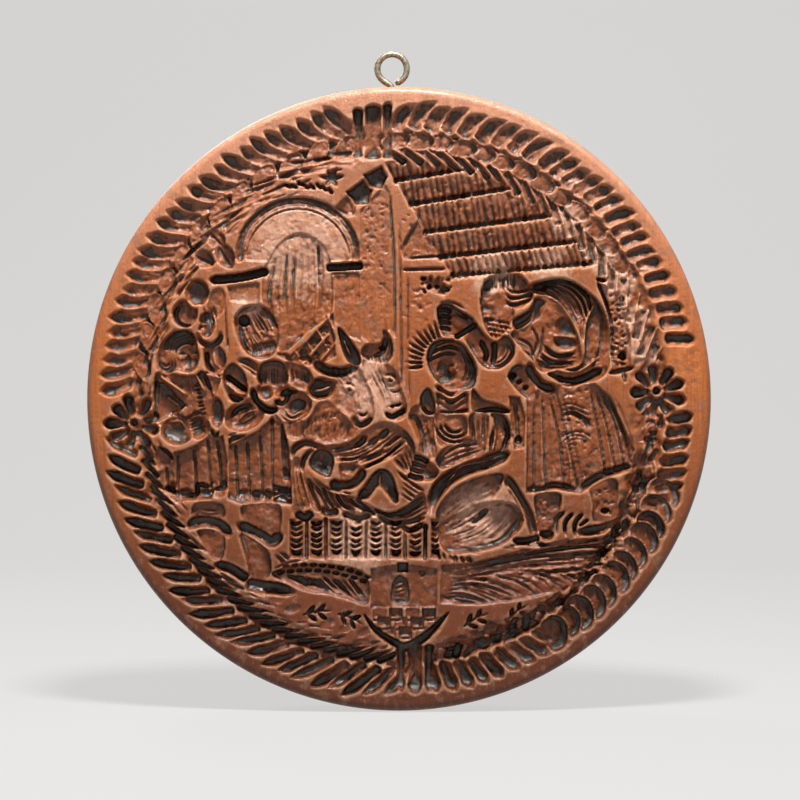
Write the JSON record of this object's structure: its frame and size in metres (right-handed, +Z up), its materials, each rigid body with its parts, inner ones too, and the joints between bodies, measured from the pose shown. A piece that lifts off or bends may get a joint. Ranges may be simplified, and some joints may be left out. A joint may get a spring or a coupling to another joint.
{
  "type": "cookie mould",
  "caption": "Round hardwood cookie mould: a hollow-carved stable scene in a leaf wreath presses a raised picture into dough; a wire screw eye in its edge hangs it up.",
  "frame": {"origin": "middle of the board's flat back face", "axes": "+Z up, towards the screw eye; +Y out of the back, so that the carved face looks towards -Y; +X to the right as the carving is seen"},
  "size_m": [0.205, 0.02, 0.218],
  "materials": {
    "carved_wood": "waxed satin, dark patina in the hollows",
    "aged_steel": "dull, aged"
  },
  "bodies": {
    "board": {"mould_board": "carved_wood"},
    "eye": {"screw_eye": "aged_steel"}
  },
  "joints": [
    {"name": "screw_eye_turn", "type": "hinge", "parent": "board", "child": "eye", "pos_m": [-0.0023, -0.01, 0.1], "axis": [0, 0, 1], "range_deg": [-90, 90]}
  ]
}
